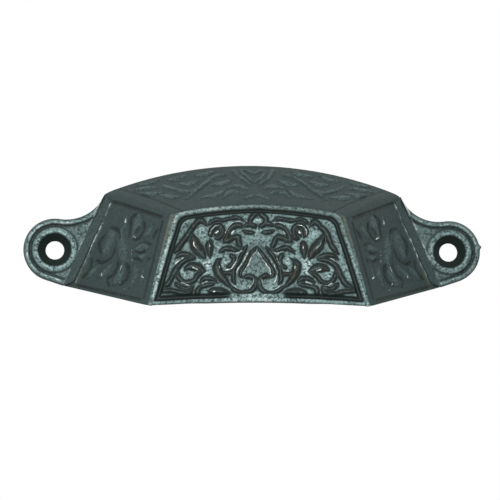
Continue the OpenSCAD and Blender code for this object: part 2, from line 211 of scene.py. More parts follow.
# %% Strokes of the front panel
FRONT_STROKES = [
    # The heart's side, the curl at its foot and the band beside it.
    ("stem", 0.33, 0.4, [(0, 13.7), (1.1, 11.9), (2.1, 10.4), (2.9, 9), (3.5, 8), (3.5, 7.1), (3.1, 6.5)]),
    ("stem", 0.48, 0.45, [
        (3.1, 6.5), (2.2, 6.9), (1.3, 6.6), (0.5, 5.9), (0.4, 5), (0.7, 4), (1.6, 3.2), (2.9, 2.9),
        (4.2, 3.2), (5.3, 3.9), (6.3, 4.8)
    ]),
    ("stem", 0.4, 0.45, [
        (2, 13.9), (2.7, 12.7), (3.5, 11.4), (4.2, 10), (4.9, 8.6), (5.1, 7.4), (5.2, 6), (4.8, 5)
    ]),
    # A crescent with its tendrils, and the leaf above it.
    ("leaf", 0.82, 0.55, [
        (5.6, 4), (6.7, 5.1), (7.8, 6.4), (8.5, 7.6), (8.9, 9), (8.5, 10.3), (7.5, 11.1)
    ]),
    ("stem", 0.42, 0.4, [(5.9, 11.9), (5.2, 11), (5.1, 10), (5.7, 9.1), (6.6, 8.9)]),
    ("stem", 0.4, 0.38, [(5.3, 7.4), (6.6, 7.4), (7.9, 7.5)]),
    ("leaf", 0.5, 0.45, [(3.2, 13.1), (4.5, 12.7), (5.7, 13.1), (6.9, 13.2), (7.8, 12.6), (8.3, 12)]),
    # Stems that climb to a scroll, and the two leaves that hang from it.
    ("stem", 0.5, 0.42, [
        (3.3, 13.4), (3.8, 14.2), (4, 15.1), (4.3, 15.9), (5.3, 15.7), (6.3, 15.2), (7.2, 14.5)
    ]),
    ("stem", 0.52, 0.45, [(3.6, 18.4), (4.7, 18.5), (5.7, 18), (6.5, 16.9), (7, 15.6), (7.3, 14.5)]),
    ("stem", 0.42, 0.4, [
        (3, 19.4), (4.6, 20.1), (6.2, 20), (7.6, 19.7), (9, 19.9), (10.2, 19.5), (11.2, 18.7)
    ]),
    ("stem", 0.52, 0.45, [
        (10.3, 15.8), (10.4, 17.1), (9.9, 18.1), (9, 18.6), (8.2, 18.1), (7.9, 16.9), (8.4, 15.7),
        (9.3, 15.4)
    ]),
    ("leaf", 0.45, 0.4, [(8.3, 18.2), (8.9, 17.2), (9.8, 15.8)]),
    ("leaf", 0.78, 0.5, [(10.2, 15.2), (10.4, 14), (10.4, 12.7), (10.4, 10.7)]),
    # The ornament at the top of the middle line.
    ("stem", 0.48, 0.42, [(0, 21.9), (0.9, 20.9), (1.6, 20), (1.7, 19.1), (1.1, 18.5), (0.2, 18.3)]),
    ("leaf", 0.5, 0.42, [(0.9, 18.4), (2.2, 18.8), (3.5, 18.4)]),
    ("leaf", 0.45, 0.4, [(0.7, 16.8), (2.2, 16.9), (3.7, 17.5)]),
    # A long leaf and a stem beside the hip.
    ("leaf", 1, 0.55, [(14.8, 16.5), (14, 15), (13.2, 13.4), (12.2, 11.9), (11.4, 10.5)]),
    ("stem", 0.55, 0.45, [(13.3, 18.9), (14.5, 17.8), (15.3, 16.6), (16, 15.1), (16.8, 13.6), (18.1, 12)]),
    ("leaf", 0.6, 0.45, [(11.3, 18.2), (12.4, 19.4), (13.4, 19.1), (14.1, 17.7)]),
    # The scroll and the leaves of the lower corner.
    ("leaf", 0.52, 0.45, [(13.3, 11), (15, 11.7), (16.7, 11.7), (18.1, 10.7)]),
    ("stem", 0.5, 0.45, [
        (13.5, 10.7), (15.1, 10.7), (16.4, 10.1), (17.4, 9), (18.1, 7.5), (18.8, 6.2), (19.7, 5),
        (21, 4.3)
    ]),
    ("leaf", 0.85, 0.5, [(11.1, 7.8), (12.4, 8.5), (13.8, 8.9), (15.1, 8.8), (16.1, 8)]),
    ("stem", 0.45, 0.42, [
        (11.6, 7.6), (12.9, 7.1), (13.9, 5.8), (15.1, 5.2), (16.3, 5.5), (17.2, 6.6), (17.2, 7.9)
    ]),
    ("stem", 0.42, 0.4, [(14, 4.4), (15.4, 3.9), (16.9, 4.3), (17.9, 5.4)]),
    ("stem", 0.48, 0.45, [(14, 3.8), (15.2, 2.8), (17, 2.95), (18.9, 3.4), (20.6, 3.5), (22, 3.3)]),
    ("leaf", 0.52, 0.45, [(8.6, 5.1), (9.9, 6.2), (11.5, 6.3), (12.8, 5.2)]),
    ("stem", 0.45, 0.4, [(9.2, 4.9), (11, 4.8), (12.5, 4.4), (13.2, 3.4), (12.9, 2.4)]),
    ("leaf", 0.85, 0.5, [(5.1, 2.5), (6.6, 2.8), (8.1, 3.1), (9.6, 3.3), (11, 3.2)]),
]
print("strokes on the front:", 2 * len(FRONT_STROKES))

# %% [markdown]
# Wear follows the hands that used a pull and not its form alone, so it has lists of its own, placed one by
# one, and the painted highlights have one too. Gleams are thin lines of painted highlight, each with half
# its width. Greys are broad bands where the pale bloom is gone, such as the one round the heart. Blooms are
# round patches where it is thick, each with its place, its reach and its strength.

# %% Wear of the front panel
# Painted highlights: the gleams below are thin bright lines painted on the front panel.
FRONT_GLEAMS = [
    (0.115, [(0, 12.8), (0.8, 11.6), (1.7, 10.1), (2.45, 8.9), (3, 7.9), (3.1, 6.9)]),
    (0.095, [(1.3, 12.9), (2.5, 11.2), (3.7, 9.2), (4.3, 7.9), (4.35, 6.9), (4.1, 6), (3.4, 5.1)]),
    (0.12, [(1, 6.2), (0.95, 5.2), (1.3, 4.4), (1.8, 3.9)]),
    (0.13, [(3.9, 4), (4.6, 4.3), (5.1, 4.9)]),
    (0.11, [(4.3, 11.2), (4.5, 10.3), (4.95, 9.3), (5.5, 8.5), (6.3, 8.2), (7.3, 8.25)]),
    (0.14, [(8.35, 9.3), (8.4, 8.3)]),
    (0.13, [(3.1, 12.8), (3.8, 12.2), (4.9, 12.1), (6.2, 12.6)]),
    (0.1, [(2.9, 18.8), (3.4, 19.2), (4.5, 19.4), (5.6, 19.05), (6.4, 18.2), (7, 17.1), (7.4, 16.1)]),
    (0.16, [(5.2, 17.3), (6, 16.5)]),
    (0.25, [(9, 17.1), (9.5, 16.6)]),
    (0.1, [(8.6, 18.35), (9.8, 18.2), (10.5, 17.4), (10.65, 16.2)]),
    (0.11, [(10.25, 13.9), (10.3, 13.1)]),
    (0.11, [(14.2, 14.9), (13.9, 13.9), (13.1, 12.8)]),
    (0.14, [(16, 11.1), (17, 10.5), (18.2, 9.5)]),
    (0.14, [(12.8, 8), (13.5, 8.3), (14.3, 8.6)]),
    (0.13, [(14.5, 4.4), (15.6, 4.75), (16.7, 5.2)]),
    (0.14, [(10.6, 5.8), (11.5, 5.4), (12.3, 5)]),
    (0.12, [(9, 3.1), (9.8, 3)]),
]
FRONT_GREYS = [
    ("wire", 0.8, 1, [
        (0.4, 14.4), (1.2, 13.3), (2.4, 11.6), (3.5, 9.8), (4.2, 8.3), (4.4, 7.2), (4.1, 5.9),
        (3.2, 5)
    ]),
    ("wire", 1.3, 0.8, [(1.6, 5.4), (2.4, 5.3)]),
    ("wire", 1.2, 0.7, [(5.2, 15), (5.8, 14.6)]),
    ("wire", 2, 0.5, [(0, 9.6), (0.2, 8.4)]),
    ("wire", 1.3, 0.7, [(6.6, 6.4), (7.6, 7.4)]),
    ("wire", 0.3, 0.9, [(0, 11.7), (0.9, 10.6), (1.8, 9.1), (2.4, 8), (2.5, 7.4)]),
]
FRONT_BLOOMS = [
    (11.0, 9.0, 2.5, 0.8),
    (0, 19.6, 1.3, 0.6),
    (0, 17.2, 1.6, 0.3),
    (6.9, 18.6, 1.2, 0.5),
    (2.2, 1.8, 4.5, 0.45),
    (6.5, 10.6, 1.2, 0.5),
    (16.2, 7.5, 2.4, 0.6),
    (12.3, 17.0, 1.5, 0.3),
    (8.6, 13.4, 1.4, 0.3),
]
print("gleams:", len(FRONT_GLEAMS), "greys:", len(FRONT_GREYS), "blooms:", len(FRONT_BLOOMS))

# %% [markdown]
# The side panels carry broad soft leaves round a stem, with finer cuts along their edges and a few spots of
# painted highlight. The roof has a heart in the middle, and stems and leaves that run out to both sides.
# Both were cast shallower than the front, because they lie at a slant to the way the pattern was drawn from
# the sand.
# On a side panel a point counts forwards from the lower back corner and up the panel, and on the
# roof outwards from the middle line and forwards from the back edge.

# %% Strokes of the side panels and the roof
SIDE_STROKES = [
    ("leaf", 2.3, 0.3, [(9.0, 15.8), (9.4, 12.4), (9.6, 8.2)]),
    ("leaf", 1.9, 0.34, [(11.6, 16.2), (13.4, 13.0), (16.4, 9.6), (17.0, 7.6)]),
    ("leaf", 1.7, 0.34, [(15.6, 20.4), (16.6, 17.2), (16.6, 13.6)]),
    ("leaf", 1.0, 0.26, [(11.6, 19.6), (12.6, 17.4), (12.4, 15.4)]),
    ("leaf", 1.1, 0.26, [(21.0, 18.8), (21.2, 16.6), (20.2, 14.6)]),
    ("leaf", 1.4, 0.3, [(18.6, 11.0), (20.6, 12.6), (23.4, 12.6)]),
    ("leaf", 0.9, 0.26, [(20.2, 10.6), (22.0, 10.4), (24.0, 11.4)]),
    ("leaf", 1.7, 0.34, [(16.8, 8.2), (17.4, 5.4), (16.4, 2.6)]),
    ("leaf", 1.4, 0.3, [(13.8, 7.8), (12.4, 5.4), (10.2, 3.6)]),
    ("leaf", 1.2, 0.28, [(9.8, 6.8), (8.2, 4.8), (6.8, 2.6)]),
    ("leaf", 1.3, 0.28, [(20.6, 8.6), (22.2, 6.2), (22.0, 2.8)]),
    ("leaf", 0.8, 0.24, [(23.4, 8.8), (24.4, 6.6), (25.0, 3.8)]),
]
# The cuts are painted dark through the figure mark, as painted shade on the shadowed side of the raised
# leaves.
SIDE_CUTS = [
    ("stem", 0.4, 0.3, [(7.9, 15.7), (9.6, 15.7), (11.0, 15.1), (12.3, 14.0), (13.0, 12.9)]),
    ("stem", 0.4, 0.3, [(7.0, 13.8), (6.3, 12.5), (6.4, 11.2), (7.2, 10.2), (8.2, 9.1)]),
    ("stem", 0.4, 0.3, [(12.2, 11.2), (12.4, 9.8), (11.7, 8.4), (9.8, 7.4), (7.4, 7.4)]),
    ("stem", 0.4, 0.3, [(15.0, 20.0), (13.8, 18.7), (14.1, 17.4), (14.9, 16.0), (15.4, 14.2)]),
    ("stem", 0.38, 0.3, [(18.0, 18.7), (19.0, 17.1), (18.9, 15.4), (18.4, 14.2), (17.3, 13.8)]),
    ("leaf", 0.5, 0.3, [(17.9, 17.2), (17.4, 16.2), (17.2, 15.1)]),
    ("leaf", 0.5, 0.3, [(23.6, 17.8), (23.2, 16.2), (23.2, 14.8)]),
    ("stem", 0.24, 0.24, [(18.8, 12.1), (19.5, 13.0), (20.8, 13.8), (22.5, 13.9), (23.7, 13.5)]),
    ("stem", 0.24, 0.24, [(19.2, 11.3), (20.6, 11.3), (21.8, 11.6), (22.1, 12.3)]),
    ("leaf", 0.4, 0.28, [(19.2, 9.9), (21.0, 9.7), (22.8, 9.1)]),
    ("leaf", 0.4, 0.28, [(24.5, 10.6), (23.7, 9.4)]),
    ("stem", 0.42, 0.3, [(14.9, 8.2), (15.4, 6.7), (15.1, 5.4), (14.3, 4.5), (13.2, 3.8)]),
    ("stem", 0.52, 0.34, [(17.8, 8.3), (19.0, 7.3), (19.6, 5.9), (19.6, 4.4), (18.5, 2.8)]),
    ("stem", 0.48, 0.34, [(5.6, 7.5), (6.4, 6.3), (6.5, 4.8), (5.9, 3.7), (5.1, 2.9)]),
    ("stem", 0.28, 0.26, [(13.7, 3.7), (14.4, 2.9), (15.3, 2.3)]),
]
# Painted highlights: the gleams below are short bright lines and spots painted on the side panels.
SIDE_GLEAMS = [
    (0.3, [(12.2, 18.1), (12.8, 17.2)]),
    (0.16, [(16.6, 14.7), (17.9, 14.3)]),
    (0.15, [(17.9, 11.6), (18.0, 11.3)]),
    (0.16, [(18.3, 10.7), (18.4, 10.4)]),
    (0.2, [(19.1, 9.4), (19.3, 9.1)]),
    (0.22, [(17.0, 7.5), (17.2, 6.3)]),
    (0.2, [(11.5, 4.9), (11.9, 4.1)]),
    (0.12, [(18.2, 3.8), (18.6, 3.3)]),
    (0.12, [(20.1, 2.6), (20.7, 2.3)]),
    (0.14, [(24.2, 6.2), (25.4, 5.8)]),
]
ROOF_STROKES = [
    ("stem", 0.5, 0.26, [(0, 4.3), (1.4, 2.6), (2.7, 3.0), (1.8, 5.5), (0, 8.2)]),
    ("stem", 0.5, 0.26, [(4.8, 1.6), (3.2, 5.6), (0.8, 9.1)]),
    ("stem", 0.5, 0.26, [(0, 13.7), (1.2, 14.1), (2.8, 15.5)]),
    ("leaf", 0.8, 0.28, [(2.6, 13.6), (4.6, 12.2), (6.3, 12.4), (7.8, 14.8)]),
    ("leaf", 0.8, 0.28, [(1.6, 11.2), (3.8, 9.6), (6.6, 10.0)]),
    ("leaf", 0.9, 0.3, [(5.2, 6.6), (7.4, 8.0), (10.0, 8.2)]),
    ("stem", 0.6, 0.3, [(6.4, 4.2), (8.6, 4.3), (11.1, 6.8), (13.4, 9.9), (15.8, 12.8)]),
    ("leaf", 0.8, 0.28, [(6.8, 10.4), (9.2, 12.8), (12.5, 13.6)]),
    ("leaf", 0.8, 0.28, [(8.4, 1.8), (11.0, 3.2), (13.8, 3.2)]),
    ("leaf", 0.9, 0.3, [(12.2, 5.2), (14.8, 6.6), (17.4, 5.6)]),
    ("stem", 0.6, 0.3, [(12.9, 9.6), (15.9, 9.6), (18.6, 7.2), (20.8, 4.6)]),
    ("leaf", 0.8, 0.28, [(15.0, 1.8), (17.4, 3.4), (20.2, 2.6)]),
    ("leaf", 0.9, 0.28, [(16.6, 11.6), (19.4, 10.6), (21.6, 8.6)]),
    ("leaf", 0.9, 0.28, [(20.4, 8.0), (23.4, 7.6), (26.0, 5.8)]),
    ("leaf", 0.8, 0.28, [(21.6, 5.6), (24.4, 4.2), (27.6, 3.6)]),
    ("leaf", 0.7, 0.26, [(21.4, 2.0), (24.2, 2.2), (27.2, 1.6)]),
]
print("leaves on each side:", len(SIDE_STROKES), "cuts:", len(SIDE_CUTS))
print("strokes on the roof:", 2 * len(ROOF_STROKES))

# %% [markdown]
# A stroke becomes height by asking, for every point of the grid, how far it lies from the spine.
# Across the stroke the height falls like a tent with a rounded ridge, which gives the narrow bright
# crest and the dark flanks that a worn casting has. Where strokes meet, the higher one wins.

# %% Height of a stroke over a grid
def smooth_line(points, steps=10):
    """Points along a smooth cubic curve through the given ones, and each one's share of the way. At
    every given point the curve heads from the point before it to the point after it."""
    p = np.array(points, float)
    p = np.vstack([2 * p[0] - p[1], p, 2 * p[-1] - p[-2]])
    t = np.linspace(0, 1, steps, endpoint=False)[:, None, None]
    a, b, c, d = p[:-3], p[1:-2], p[2:-1], p[3:]
    square, cube = 2 * a - 5 * b + 4 * c - d, 3 * b - a - 3 * c + d
    curve = (2 * b + (c - a) * t + square * t ** 2 + cube * t ** 3) / 2
    line = np.vstack([curve.transpose(1, 0, 2).reshape(-1, 2), p[-2:-1]])
    return line, np.linspace(0, 1, len(line))


def swell(kind, t):
    """Share of the full width at t: a leaf swells like a sine to the power 0.8, and a stem and a wire
    start at 0.3 and 0.7 of it and rise evenly to all of it a little way in from their ends."""
    end_away = np.minimum(t, 1 - t)
    if kind == "leaf":
        return np.maximum(np.sin(np.pi * t), 0) ** 0.8
    if kind == "wire":
        return np.minimum(1, 0.7 + 4 * end_away)
    return np.minimum(1, 0.3 + 6 * end_away)


SECTION_POWER, END_RISE, CREST_SHARE, TIP_WIDTH = 1.8, 0.45, 0.22, 0.02


def carve(u, v, stroke):
    """Height and crest of one stroke: the distance to the nearest part of the spine over the half
    width there gives x, the height is 1 less x to the power 1.8, and the crest is where x is small."""
    kind, half, rise, points = stroke
    line, t = smooth_line(points)
    low, high = line.min(0) - half, line.max(0) + half
    near = (u > low[0]) & (u < high[0]) & (v > low[1]) & (v < high[1])
    height, crest = np.zeros(u.shape), np.zeros(u.shape)
    q = np.stack([u[near], v[near]], -1)[:, None]
    start, step = line[:-1], np.diff(line, axis=0)
    share = np.clip(((q - start) * step).sum(-1) / (step * step).sum(-1), 0, 1)
    away = np.linalg.norm(q - start - share[..., None] * step, axis=-1)
    at = mix(t[:-1], t[1:], share)
    x = away / (half * swell(kind, at) + TIP_WIDTH)
    nearest = x.argmin(1)[:, None]
    x, at = (np.take_along_axis(values, nearest, 1)[:, 0] for values in (x, at))
    section = 1 - np.minimum(x, 1) ** SECTION_POWER
    height[near] = rise * (END_RISE + (1 - END_RISE) * swell(kind, at)) * section
    crest[near] = ease(1 - x / CREST_SHARE) * swell(kind, at)
    return height, crest


def carved(u, v, strokes, spread=1.0):
    """Height and crest of many strokes, their widths times the spread: the highest at each point."""
    height, crest = np.zeros(u.shape), np.zeros(u.shape)
    for kind, half, rise, points in strokes:
        h, c = carve(u, v, (kind, half * spread, rise, points))
        crest = np.where(h > height, c, crest)
        height = np.maximum(height, h)
    return height, crest


GLOW = 4


def drawn(u, v, lines):
    """Field of thin bright lines: 1 on a line and less away from it, over GLOW times its width. The
    material cuts it down to the line itself, which comes out sharper than the grid could draw it."""
    return carved(u, v, [("wire", half, 1.0, points) for half, points in lines], GLOW)[0]


def ridge(d, centre, half, rise):
    """A bead or groove that runs beside an edge: a rounded ridge at one distance d from it."""
    return rise * np.maximum(1 - ((d - centre) / half) ** 2, 0)


print("ridge of 1 mm across its width:", ridge(np.linspace(0, 1, 5), 0.5, 0.5, 1.0))

# %% [markdown]
# The front panel has a frame as well: a rounded bead along its hips and its top and bottom edge,
# and a groove inside the bead. Both are plain functions of the distance to the nearest edge.
# No pattern cut by hand is quite even, so the strokes wander by a tenth of a millimetre, and all
# that lies below the top ornament sits a little to the left of the middle.

# %% Places on the front panel
AXIS_DRIFT, DRIFT_TOP, DRIFT_OVER = 0.42, 17.5, 4
HIP_GAP, TOP_GAP, CORNER_ROUND, CORNER_DRAW = 0.4, 0.2, 1.6, 0.8


def smooth_least(first, second, softness):
    """The smaller of two distances, rounded where they are near each other."""
    gap = ease(0.5 + (second - first) / (2 * softness))
    return mix(second, first, gap) - softness * gap * (1 - gap)


def wander(u, v, seed=0.0):
    """Small shifts of u and v that make a pattern as uneven as one cut by hand and cast in sand: sine
    waves about 6 mm long and 0.12 mm high, and finer ones about 1.5 mm long and 0.05 mm high."""
    shift_u = 0.12 * np.sin(0.7 * v + 0.9 * u + seed) + 0.05 * np.sin(3.1 * v - 2.3 * u + 2 * seed)
    shift_v = 0.12 * np.sin(0.8 * u - 0.6 * v + 2 * seed) + 0.05 * np.sin(2.7 * u + 3.3 * v + seed)
    return u + shift_u, v + shift_v


def front_edges(grid):
    """Height up the front panel, and the distances in from the frame's line, from the lip and from the
    nearer of the hip and the top edge. The frame's line keeps off the hips and the top edge, the more
    so towards the upper corners, and rounds them."""
    point = np.concatenate([abs(grid[..., :1]), grid[..., 1:]], -1)
    out, up_panel = point[..., 0], (point - LIP) @ FRONT_UP
    hip = np.linalg.norm(np.cross(point - LIP, unit(np.cross(FRONT_OUT, SIDE_OUT))), axis=-1)
    top_z = outer.front(out / LIP_HALF, 0 * out + 1.0)[..., 2]
    top = (top_z - point[..., 2]) / np.cos(FRONT_LEAN)
    low = (point[..., 2] - lip_height(out)) / np.cos(FRONT_LEAN)
    hip_line = hip - HIP_GAP - CORNER_DRAW * up_panel / 20
    top_line = top - TOP_GAP - CORNER_DRAW * out / 18
    return up_panel, smooth_least(hip_line, top_line, CORNER_ROUND), low, np.minimum(hip, top)


up_panel, framed, above_lip, edge = front_edges(front_grid)
u, v = wander(front_grid[..., 0], up_panel, 1.0)
u = abs(u + AXIS_DRIFT * ease((DRIFT_TOP - v) / DRIFT_OVER))
print("front panel up to", u.max().round(1), "mm from the middle and", v.max().round(1), "mm high")

# %% [markdown]
# The relief is the sum of the strokes, the bead and the groove. The groove is a little narrower and
# further in along the top, and along the lip it fades out towards the middle.

# %% Relief of the front panel
FRONT_SPREAD, GLEAM_RISE, GROOVE_DEPTH = 1.4, 0.06, 0.45
HIP_BEAD, LIP_BEAD, LIP_GROOVE = (0.1, 0.6, 0.24), (0.55, 0.55, 0.2), (1.5, 0.65, GROOVE_DEPTH)

strokes, crest = carved(u, v, FRONT_STROKES, FRONT_SPREAD)
gleam = drawn(u, v, FRONT_GLEAMS)
near_top = ease((v - 13) / 4)
bead = np.maximum(ridge(framed, *HIP_BEAD) * ease(edge / 0.4), ridge(above_lip, *LIP_BEAD))
groove = ridge(framed, 1.15 + 0.12 * near_top, 0.6 - 0.08 * near_top, GROOVE_DEPTH)
groove = groove * ease((above_lip - 0.9) / 0.3)
lip_groove = ridge(above_lip, *LIP_GROOVE) * ease((u - 5.0) / 3) * ease((framed - 0.8) / 0.3)
sunk = np.maximum(groove, lip_groove)
inside = ease((np.minimum(framed, above_lip - 0.2) - 1.6) / 0.3)
front_height = strokes * inside + bead - sunk + GLEAM_RISE * ease((gleam - 0.6) / 0.4)
print("front relief from", front_height.min().round(2), "to", front_height.max().round(2), "mm")

# %% [markdown]
# The tone says how pale each place is. Between the strokes it starts from one value, which the blooms, the
# worn bead and the worn lip raise, and which the greys, the soot round every stroke, the dull bead along the
# top and a painted shade over the left field lower. On a stroke only the crest has some, partly wear and
# partly a painted highlight. The left side of the bead is paler than the right, as the real one has worn,
# and the outer left field is darker with painted shade.

# %% Tone of the front panel
GROUND_TONE, MOST_TONE, CREST_TONE = 0.66, 1.4, 0.9
SOOT_SPREAD, SOOT, GREY, SUNK_DARKENING, DULL_RUST = 1.8, 0.52, 0.45, 0.65, 0.3

left = ease(0.5 - front_grid[..., 0] / 16)
dull = near_top * ease((1.0 - framed) / 0.4)
soot = carved(u, v, FRONT_STROKES, SOOT_SPREAD * FRONT_SPREAD)[0] / 0.45
grey = carved(u, v, FRONT_GREYS)[0]
blooms = [gain * np.exp(-((u - x) ** 2 + (v - y) ** 2) / reach ** 2) for x, y, reach, gain in FRONT_BLOOMS]
worn_bead = ridge(framed, 0.1, 0.6, 1.0) * (0.2 + 0.35 * left * ease(v / 3))
worn_bead = worn_bead - 0.3 * left * ease((1.2 - framed) / 0.6) * ease((3 - v) / 2.5)
worn_lip = 0.15 * ease((1.2 - above_lip) / 0.5)
# Painted shade: the outer part of the left field is darkened.
shaded = 0.3 * left * ease((u - 14) / 6) * ease((framed - 1.6) / 0.5)
tone = GROUND_TONE + sum(blooms) + worn_bead + worn_lip - GREY * grey - shaded
tone = tone - (0.16 - 0.1 * left) * dull
tone = np.clip(tone * (1 - SOOT * soot * inside), 0, MOST_TONE)
front_figure = np.maximum(ease(strokes * inside / 0.18), ease(sunk / 0.25))
# On a stroke only the crest keeps tone, which makes it paler: partly wear and partly a painted highlight.
front_tone = mix(tone, CREST_TONE * crest * inside, front_figure)
front_gleam, front_sunk_dark = gleam * inside, SUNK_DARKENING * ease(sunk / 0.35)
front_rust = np.maximum(ease((-0.2 - framed) / 0.4) * ease((v - 6) / 10), DULL_RUST * dull)
print("tone from", front_tone.min().round(2), "to", front_tone.max().round(2))

# %% [markdown]
# The side panels have a bare band at the back, a fine ridge beside it with a painted highlight in short
# dashes, and a thin incised line under the top edge, along the hip and along the bottom.

# %% Relief of the side panels
SPINE, TOP_CUT = (4.0, 0.5, 0.3), (1.2, 0.4, 0.35)
FOOT_CUT, HIP_CUT = (1.0, 0.32, 0.24), (2.0, 0.32, 0.24)
# The sides' low tone is partly patina and partly painted shade, as they turn away from the light.
SIDE_RISE, SIDE_TONE, LEAF_TONE, SPINE_TONE = 1.3, 0.01, 0.13, 0.24
BACK_LEAN = (SHOULDER - BASE) @ SIDE_ALONG / ((SHOULDER - BASE) @ SIDE_UP)


def from_back(s, t):
    """Distance in from the side panel's back edge, which leans forwards as it rises."""
    return (s - BACK_LEAN * t) / np.hypot(1, BACK_LEAN)


def from_hip_and_top(s, t):
    """Distances in from the hip and from the top edge of the side panel, taken as straight lines."""
    tall, long = (SHOULDER - BASE) @ SIDE_UP, np.linalg.norm(LIP - BASE)
    corner = outer.side_top(np.array(0.0)) - BASE
    corner_s, corner_t = corner @ SIDE_ALONG, corner @ SIDE_UP
    hip_lean = (long - corner_s) / corner_t
    fall = (tall - corner_t) / (corner_s - BACK_LEAN * tall)
    hip = (long - hip_lean * t - s) / np.hypot(1, hip_lean)
    return hip, (tall - fall * (s - BACK_LEAN * tall) - t) / np.hypot(1, fall)


def side_relief(grid):
    """Height, gleam, figure, tone and rust over the right side panel: the leaves and the spine less
    the deepest of the incised lines, with the spine's gleam broken by a slow sine wave."""
    s, t = (grid - BASE) @ SIDE_ALONG, (grid - BASE) @ SIDE_UP
    cut_s, cut_t = wander(s, t, 2.0)
    back, bent = from_back(s, t), from_back(cut_s, cut_t)
    hip, top = from_hip_and_top(s, t)
    leaves, cuts = carved(s, t, SIDE_STROKES)[0], carved(cut_s, cut_t, SIDE_CUTS)[0]
    inside = ease(np.minimum(np.minimum(back - 4.6, hip - 2.4), np.minimum(top - 1.6, t - 1.5)) / 0.5)
    spine = ridge(bent, *SPINE) * ease((t - 0.8) / 0.8) * ease((top - 1.0) / 0.8)
    past_spine = ease((back - 3.6) / 0.3)
    lines = np.max([
        ridge(top, *TOP_CUT) * past_spine * ease((hip - 1.5) / 1.5),
        ridge(t, *FOOT_CUT) * past_spine * ease((hip - 2) / 1.5),
        ridge(hip, *HIP_CUT) * ease((top - 1.6) / 0.5) * ease((t - 1) / 0.5),
        cuts * inside,
    ], axis=0)
    broken = 0.955 + 0.025 * np.sin(1.3 * t + 2 * np.sin(0.9 * t))
    # The spine's broken bright line is a painted highlight.
    spine_glint = broken * ridge(bent, 4.05, 0.9, 1.0) * ease(spine / 0.1)
    gleam = np.maximum(drawn(s, t, SIDE_GLEAMS), spine_glint)
    tone = SIDE_TONE + LEAF_TONE * ease(leaves * inside / 0.3) + SPINE_TONE * ease(spine / 0.2)
    rust = 0.4 * ridge(bent, 4.4, 1.0, 1.0) * ease((9 - t) / 6)
    # The figure mark paints the incised lines dark; on the cuts beside the leaves that dark is painted
    # shade.
    return SIDE_RISE * leaves * inside + spine - lines, gleam, ease(lines / 0.2), tone, rust


side_height, side_gleam, side_figure, side_tone, side_rust = side_relief(side_grid)
print("side relief from", side_height.min().round(2), "to", side_height.max().round(2), "mm")

# %% [markdown]
# The roof has a bare band along each hip and a sunk line inside it. Its carving stays between these
# lines and ends a little before the back edge.

# %% Relief of the roof
ROOF_SPREAD, ROOF_RISE, HIP_LINE = 1.2, 1.3, (2.8, 0.4, 0.16)


def roof_relief(grid):
    """Height, figure and tone over the roof, measured from the middle line and from the back edge."""
    y = -grid[..., 1]
    x, along = wander(grid[..., 0], y, 3.0)
    height = ROOF_RISE * carved(abs(x), along, ROOF_STROKES, ROOF_SPREAD)[0]
    depth = -outer.side_top(np.array(0.0))[1]
    edge = outer.side_top(np.clip(1 - y / depth, 0, 1))[..., 0] - abs(grid[..., 0])
    inside = ease((edge - 3.0) / 0.6) * ease((y - 0.8) / 0.6)
    line = ridge(edge, *HIP_LINE) * ease((y - 0.8) / 0.8)
    # The roof's low tone is partly patina and partly painted shade, as it turns away from the light.
    tone = 0.02 + 0.2 * ease(height * inside / 0.25)
    return height * inside - line, ease(line / 0.16) * 0.6, tone


roof_rise, roof_figure, roof_tone = roof_relief(roof_grid)
print("roof relief to", roof_rise.max().round(2), "mm")

# %% [markdown]
# ## Rounded edges and the wall's thickness
# A casting has no sharp edge. One rule rounds them all: the distance outwards from each plane of
# the hood is blended into a smooth maximum, and every point slides along its slope until that
# maximum is nought. Far from an edge nothing moves, and at an edge two or three planes share the
# point and pull it inwards. The same slope then says which way is out, so the carving is laid on
# along it and never tears at the hips.

# %% Smooth hood
HIP_ROUND, RIM_ROUND = 0.32, 0.09
MIRROR = np.array([-1, 1, 1])


def smooth_max(values, softness):
    """The largest value, rounded: the softness times the logarithm of the sum of exponentials."""
    top = np.max(values, axis=0)
    return top + softness * np.log(sum(np.exp((v - top) / softness) for v in values))


def outside(p):
    """How far a point lies outside the hood's smooth outer form, in mm. Negative is inside."""
    x, y, z = p[..., 0], p[..., 1], p[..., 2]
    front = (p - LIP) @ FRONT_OUT
    sides = [(p - BASE) @ SIDE_OUT, (p - BASE * MIRROR) @ (SIDE_OUT * MIRROR)]
    roof = (z - roof_height(x, y)) * np.cos(ROOF_FALL)
    skirt = (skirt_height(y) - z) * LIP_DEPTH / np.hypot(LIP_DEPTH, LIP_DROP - BASE_DROP)
    body = smooth_max(np.array([front, *sides, roof]), HIP_ROUND)
    return smooth_max(np.array([body, lip_height(x) - z, skirt, y]), RIM_ROUND)


def slope(p, step=0.02):
    """Which way is out: the change of outside() along x, y and z, brought to length 1."""
    change = [outside(p + step * axis) - outside(p - step * axis) for axis in np.eye(3)]
    return unit(np.stack(change, -1))


def settle(p, height=0.0):
    """Slide points onto the smooth form, then lift each by its height along the slope there."""
    for _ in range(3):
        p = p - outside(p)[..., None] * slope(p)
    return p + np.asarray(height)[..., None] * slope(p)


front_skin = settle(front_grid, front_height)
side_skin = settle(side_grid, side_height)
roof_skin = settle(roof_grid, roof_rise)
print("largest move at an edge, mm:", np.linalg.norm(settle(side_grid) - side_grid, axis=-1).max().round(2))

# %% [markdown]
# ## Wear, dirt, painted shade and painted highlights as numbers on the skin
# On the real pull the flanks of the carving look nearly black, which is painted here as shade, the flat
# ground of the front has a pale blue-green bloom, and a few thin lines get painted highlights. Where each of
# these lies is worked out here and stored with every vertex, and the material only has to mix.
# There are six marks: figure is 1 on carved metal and 0 on open ground, flank is 1 on a steep side and
# carries the painted shade, gleam is near 1 on a painted highlight line, tone says how pale the place is,
# sink how much darker a sunk place is, and rust how olive the metal has turned.

